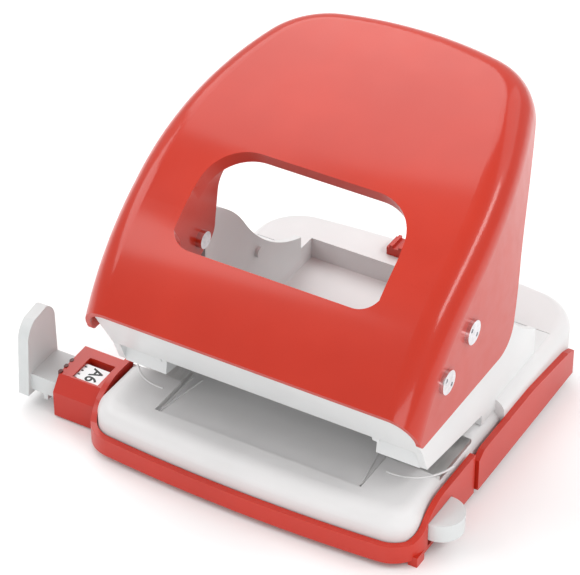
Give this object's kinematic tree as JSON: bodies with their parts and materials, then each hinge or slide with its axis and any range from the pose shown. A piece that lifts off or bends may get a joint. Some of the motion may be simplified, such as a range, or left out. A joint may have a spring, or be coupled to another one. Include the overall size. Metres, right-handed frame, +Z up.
{
  "type": "hole punch",
  "caption": "Desk hole punch: curved lever with hand window on a hollow frame, two spring-returned punches, hinged chip tray and sliding paper guide.",
  "frame": {"origin": "on the table, halfway between the two punched holes", "axes": "+X to the right along the line of the two holes, +Y to the rear, +Z up"},
  "size_m": [0.1358, 0.1124, 0.0992],
  "materials": {
    "lever_red": "satin powder coat",
    "frame_grey": "satin",
    "base_grey": "satin",
    "rail_grey": "satin",
    "tray_red": "gloss",
    "lock_red": "gloss",
    "pin_steel": "bright zinc",
    "punch_steel": "ground",
    "spring_steel": "drawn wire",
    "die_steel": "ground",
    "screw_steel": "zinc",
    "foot_rubber": "matt"
  },
  "bodies": {
    "base": {"base_body": "base_grey", "die_plates": "die_steel", "upper_frame": "frame_grey", "punch_guide_right": "frame_grey", "punch_guide_left": "frame_grey", "pivot_pins": "pin_steel", "frame_screws": "screw_steel", "return_spring_right": "spring_steel", "return_spring_left": "spring_steel", "side_panels": "tray_red", "tray_hinge_pins": "pin_steel"},
    "lever": {"lever": "lever_red", "drive_pins": "pin_steel"},
    "punch_right": {"punch_right": "punch_steel"},
    "punch_left": {"punch_left": "punch_steel"},
    "tray": {"chip_tray": "tray_red", "guide_housing": "tray_red", "guide_click_spring": "spring_steel", "rubber_feet": "foot_rubber"},
    "guide": {"guide_rail": "rail_grey"},
    "lock": {"lever_lock": "lock_red"}
  },
  "joints": [
    {"name": "lever_press", "type": "hinge", "parent": "base", "child": "lever", "pos_m": [0, -0.0134, 0.0521], "axis": [-1, 0, 0], "range_deg": [0, 25]},
    {"name": "punch_right_slide", "type": "slide", "parent": "base", "child": "punch_right", "axis": [0, 0, -1], "range_m": [0, 0.0064], "stiffness_N_per_m": 900, "springref_m": -0.012, "deforming": ["return_spring_right"]},
    {"name": "punch_left_slide", "type": "slide", "parent": "base", "child": "punch_left", "axis": [0, 0, -1], "range_m": [0, 0.0064], "stiffness_N_per_m": 900, "springref_m": -0.012, "deforming": ["return_spring_left"]},
    {"name": "tray_hinge", "type": "hinge", "parent": "base", "child": "tray", "pos_m": [0, 0.06, 0.0054], "axis": [1, 0, 0], "range_deg": [0, 35]},
    {"name": "guide_slide", "type": "slide", "parent": "tray", "child": "guide", "axis": [-1, 0, 0], "range_m": [-0.003, 0.0745]},
    {"name": "lock_slide", "type": "slide", "parent": "base", "child": "lock", "axis": [1, 0, 0], "range_m": [0, 0.006]}
  ],
  "couplings": [
    {"joint": "punch_right_slide", "follows": "lever_press", "m_per_rad": 0.014544},
    {"joint": "punch_left_slide", "follows": "lever_press", "m_per_rad": 0.014544}
  ]
}
